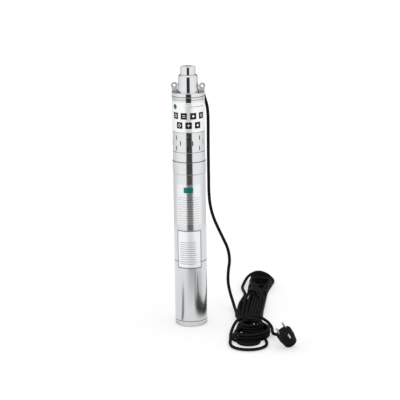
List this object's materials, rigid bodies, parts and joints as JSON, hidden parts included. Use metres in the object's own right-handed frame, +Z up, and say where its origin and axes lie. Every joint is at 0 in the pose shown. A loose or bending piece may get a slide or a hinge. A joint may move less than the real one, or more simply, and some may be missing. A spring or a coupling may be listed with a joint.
{
  "type": "borehole submersible pump",
  "caption": "Slim polished steel borehole pump with slotted inlet strainer, helical screw element, sealed motor, threaded outlet collar, rope eyes and tied supply cable with plug.",
  "frame": {"origin": "centre of the base cap's underside", "axes": "+Z up along the pump's axis, -Y towards the front, +X to the right seen from the front"},
  "size_m": [0.2751, 0.599, 0.61],
  "materials": {
    "polished_stainless": "mirror polished",
    "filmed_stainless": "polished under a white gloss film",
    "plain_stainless": "turned",
    "chromed_screw": "hard chromed",
    "bearing_steel": "ground",
    "lamination_steel": "stacked sheets",
    "winding_copper": "varnished copper wire",
    "cage_aluminium": "cast",
    "cast_seat": "cast and turned",
    "capacitor_can": "drawn",
    "protector_plastic": "moulded",
    "ceramic": "lapped",
    "carbon": "lapped",
    "seal_rubber": "moulded",
    "cable_rubber": "satin",
    "plug_plastic": "moulded",
    "plug_metal": "nickel plated"
  },
  "bodies": {
    "casing": {"discharge_head": "polished_stainless", "suspension_eyes": "polished_stainless", "head_o_ring": "seal_rubber", "pump_casing": "filmed_stainless", "stator_sleeve": "plain_stainless", "stator_rubber": "seal_rubber", "strainer": "polished_stainless", "intake_ring": "polished_stainless", "motor_top_cover": "polished_stainless", "cover_o_ring": "seal_rubber", "motor_casing": "polished_stainless", "base_cap": "polished_stainless", "base_o_ring": "seal_rubber", "stator_core": "lamination_steel", "stator_winding": "winding_copper", "thermal_protector": "protector_plastic", "capacitor": "capacitor_can", "lower_bearing_seat": "cast_seat", "upper_bearing_outer_ring": "bearing_steel", "lower_bearing_outer_ring": "bearing_steel", "seal_seat": "ceramic", "lead_bush": "seal_rubber", "inner_lead": "cable_rubber", "gland_nut": "plain_stainless", "cable_sleeve": "cable_rubber", "cable": "cable_rubber", "cable_hank": "cable_rubber", "plug_lead": "cable_rubber", "plug_body": "plug_plastic", "plug_pins": "plug_metal", "earth_clips": "plug_metal"},
    "rotor": {"motor_shaft": "plain_stainless", "rotor_core": "lamination_steel", "rotor_cage": "cage_aluminium", "upper_bearing_inner_ring": "bearing_steel", "lower_bearing_inner_ring": "bearing_steel", "seal_face": "carbon", "seal_spring": "plain_stainless", "seal_collar": "plain_stainless", "drive_socket": "plain_stainless", "drive_pin": "plain_stainless"},
    "upper_balls": {"upper_bearing_balls": "bearing_steel"},
    "lower_balls": {"lower_bearing_balls": "bearing_steel"},
    "orbit": {"pin_ring": "plain_stainless"},
    "drive_rod": {"drive_rod": "plain_stainless"},
    "screw": {"screw": "chromed_screw", "screw_pin": "plain_stainless"}
  },
  "joints": [
    {"name": "shaft_spin", "type": "hinge", "parent": "casing", "child": "rotor", "pos_m": [0, 0, 0.25], "axis": [0, 0, 1], "continuous": true},
    {"name": "upper_ball_spin", "type": "hinge", "parent": "casing", "child": "upper_balls", "pos_m": [0, 0, 0.3525], "axis": [0, 0, 1], "continuous": true},
    {"name": "lower_ball_spin", "type": "hinge", "parent": "casing", "child": "lower_balls", "pos_m": [0, 0, 0.1595], "axis": [0, 0, 1], "continuous": true},
    {"name": "screw_orbit", "type": "hinge", "parent": "casing", "child": "orbit", "pos_m": [0, 0, 0.452], "axis": [0, 0, 1], "continuous": true},
    {"name": "rod_spin", "type": "hinge", "parent": "orbit", "child": "drive_rod", "pos_m": [0, 0, 0.40305], "axis": [0.0612, 0, 0.9981], "continuous": true},
    {"name": "screw_spin", "type": "hinge", "parent": "orbit", "child": "screw", "pos_m": [0.003, 0, 0.452], "axis": [0, 0, 1], "continuous": true}
  ],
  "couplings": [
    {"joint": "upper_ball_spin", "follows": "shaft_spin", "ratio": 0.38},
    {"joint": "lower_ball_spin", "follows": "shaft_spin", "ratio": 0.38},
    {"joint": "screw_orbit", "follows": "shaft_spin", "ratio": -1},
    {"joint": "rod_spin", "follows": "shaft_spin", "ratio": 2},
    {"joint": "screw_spin", "follows": "shaft_spin", "ratio": 2}
  ]
}
